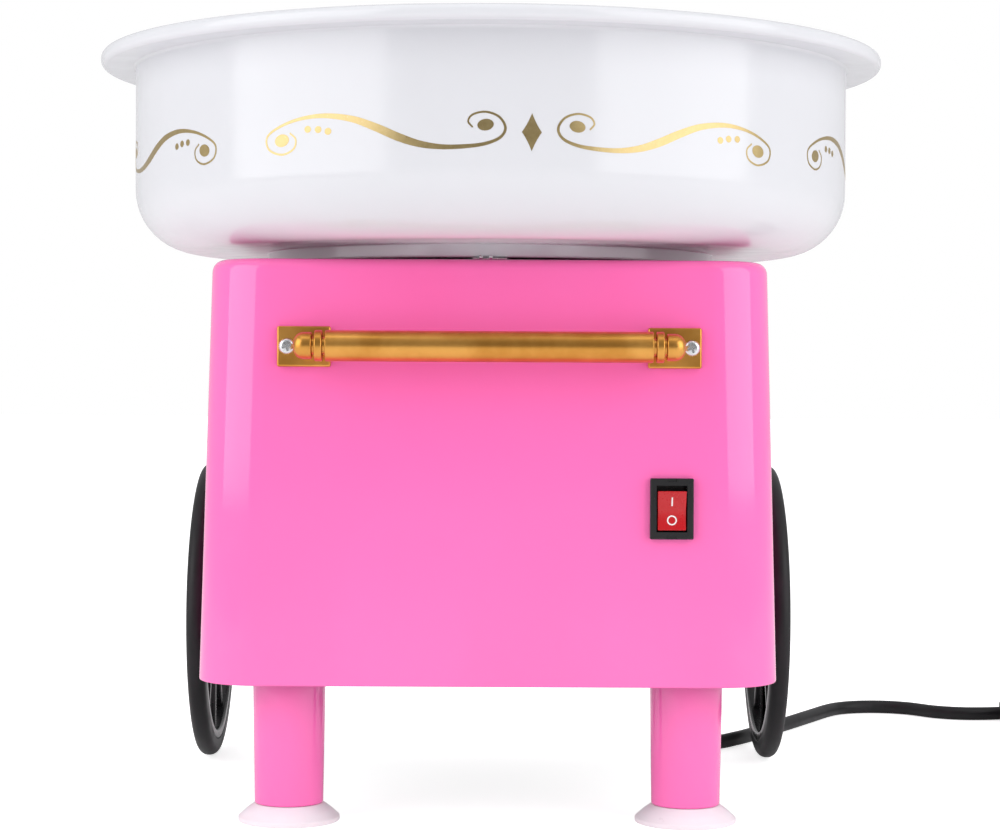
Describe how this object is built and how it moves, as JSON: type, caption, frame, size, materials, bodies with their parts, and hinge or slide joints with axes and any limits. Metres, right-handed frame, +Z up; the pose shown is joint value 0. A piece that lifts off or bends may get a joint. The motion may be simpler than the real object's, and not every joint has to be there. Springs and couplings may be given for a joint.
{
  "type": "cotton candy machine",
  "caption": "Tabletop cotton candy machine: pink body on two legs and two cart wheels, lift-off white bowl, spinning sugar head, gold handle and rocker switch.",
  "frame": {"origin": "on the ground under the spinner's axis, at the middle of the bowl's outline", "axes": "+Z up along the spinner's axis; the front with the handle and the switch faces -Y; the switch is on the +X side"},
  "size_m": [0.4659, 0.3524, 0.2774],
  "materials": {
    "pink_plastic": "glossy hot pink moulding",
    "white_plastic": "glossy white moulding",
    "dark_plastic": "satin charcoal moulding",
    "black_plastic": "black moulding",
    "red_plastic": "red rocker",
    "black_rubber": "soft black rubber",
    "milky_rubber": "translucent milky vinyl",
    "gold": "warm gold plating",
    "steel": "bright zinc steel",
    "aluminium": "spun aluminium",
    "element": "heat-darkened sheath",
    "copper": "laminations and copper windings",
    "ceramic": "unglazed ceramic",
    "board": "circuit board laminate",
    "brass": "plug blades",
    "tie": "white plastic tie"
  },
  "bodies": {
    "root": {"body_shell": "pink_plastic", "base_plate": "dark_plastic", "leg_left": "pink_plastic", "leg_right": "pink_plastic", "suction_cup_left": "milky_rubber", "suction_cup_right": "milky_rubber", "bowl_catch": "steel", "heater_tray": "white_plastic", "heat_shield": "aluminium", "heating_element": "element", "element_insulator_front": "ceramic", "element_insulator_rear": "ceramic", "thermal_cutout": "black_plastic", "motor_bracket": "steel", "motor_can": "steel", "motor_end_cap": "black_plastic", "motor_screw_left": "steel", "motor_screw_right": "steel", "rectifier_board": "board", "terminal_block": "white_plastic", "wheel_axle": "steel", "axle_bush_left": "dark_plastic", "axle_bush_right": "dark_plastic", "hub_cap_left": "gold", "hub_cap_right": "gold", "handle_bar": "gold", "handle_bracket_left": "gold", "handle_bracket_right": "gold", "handle_screw_left": "steel", "handle_screw_right": "steel", "switch_bezel": "black_plastic", "leg_screw_left": "steel", "leg_screw_right": "steel", "tray_screw_left": "steel", "tray_screw_right": "steel", "strain_relief": "black_rubber", "power_cord": "black_rubber", "cord_coil": "black_rubber", "cord_tie": "tie", "plug_body": "black_rubber", "plug_blade_left": "brass", "plug_blade_right": "brass", "base_screw_1": "steel", "base_screw_2": "steel", "base_screw_3": "steel", "base_screw_4": "steel"},
    "bowl": {"bowl": "white_plastic"},
    "drive": {"motor_rotor": "copper", "motor_shaft": "steel", "motor_fan": "black_plastic"},
    "spinner": {"spinner_head": "aluminium", "spinner_band": "steel", "spinner_lid": "aluminium"},
    "wheel_left": {"wheel_left": "black_plastic", "tyre_left": "black_rubber"},
    "wheel_right": {"wheel_right": "black_plastic", "tyre_right": "black_rubber"},
    "rocker": {"switch_rocker": "red_plastic"}
  },
  "joints": [
    {"name": "bowl_lift", "type": "slide", "parent": "root", "child": "bowl", "axis": [0, 0, 1], "range_m": [0, 0.045]},
    {"name": "spinner_spin", "type": "hinge", "parent": "root", "child": "drive", "pos_m": [0, 0, 0.15], "axis": [0, 0, 1], "continuous": true},
    {"name": "head_lift", "type": "slide", "parent": "drive", "child": "spinner", "axis": [0, 0, 1], "range_m": [0, 0.035]},
    {"name": "wheel_left_spin", "type": "hinge", "parent": "root", "child": "wheel_left", "pos_m": [-0.1147, 0.073, 0.0603], "axis": [1, 0, 0], "continuous": true},
    {"name": "wheel_right_spin", "type": "hinge", "parent": "root", "child": "wheel_right", "pos_m": [0.1147, 0.073, 0.0603], "axis": [1, 0, 0], "continuous": true},
    {"name": "switch_rock", "type": "hinge", "parent": "root", "child": "rocker", "pos_m": [0.063, -0.09395, 0.11178], "axis": [-1, 0, 0], "range_deg": [0, 18]}
  ]
}
